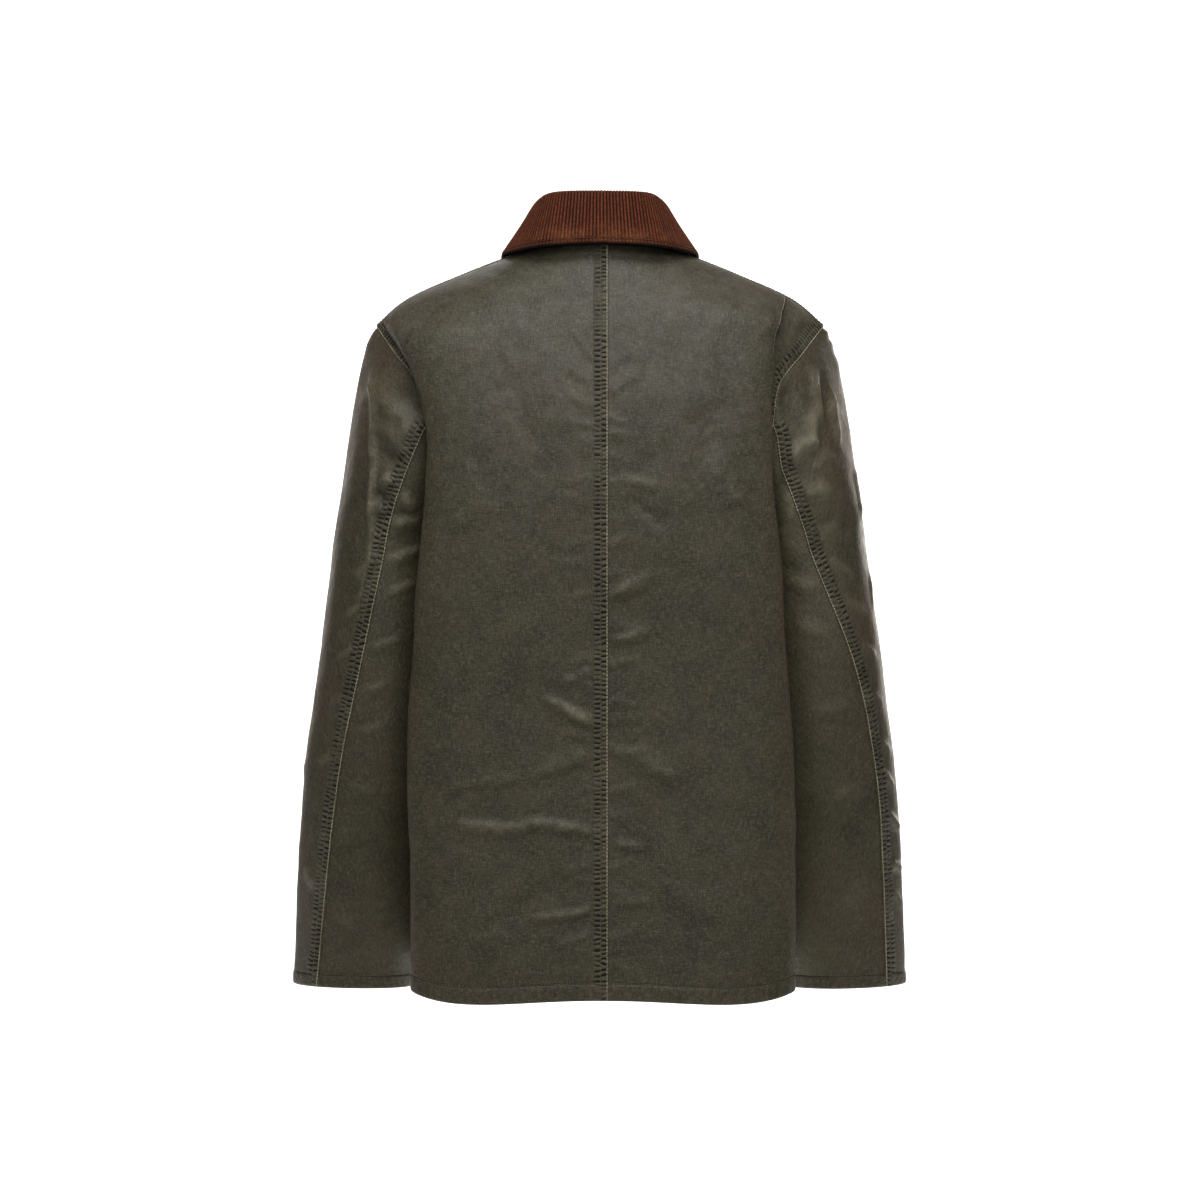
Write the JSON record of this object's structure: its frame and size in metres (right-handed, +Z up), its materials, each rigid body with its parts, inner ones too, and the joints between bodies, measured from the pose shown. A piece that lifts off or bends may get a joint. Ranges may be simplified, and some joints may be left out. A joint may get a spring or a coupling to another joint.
{
  "type": "blazer",
  "caption": "Straight hip-length waxed-cotton jacket with a folded corduroy collar and two-piece sleeves, hollow, in the form it has when worn and buttoned.",
  "frame": {"origin": "middle of the neck opening, level with the two side neck points, where a wearer's shoulders carry the jacket", "axes": "+Z up the body, the front of the jacket faces -Y, +X towards the wearer's left"},
  "size_m": [0.6089, 0.2584, 0.7753],
  "materials": {
    "shell": "waxed cotton, dark olive, semi-matt with a rubbed sheen",
    "collar": "brown cotton corduroy with upright wales",
    "collar_backing": "dark shell cloth",
    "button": "dark horn-like plastic, satin"
  },
  "bodies": {
    "root": {"back_left": "shell", "back_right": "shell", "front_left": "shell", "front_right": "shell", "sleeve_top_left": "shell", "sleeve_top_right": "shell", "sleeve_under_left": "shell", "sleeve_under_right": "shell", "collar_top": "collar", "collar_under": "collar_backing", "button_1": "button", "button_2": "button", "button_3": "button", "button_4": "button", "button_5": "button"}
  },
  "joints": []
}
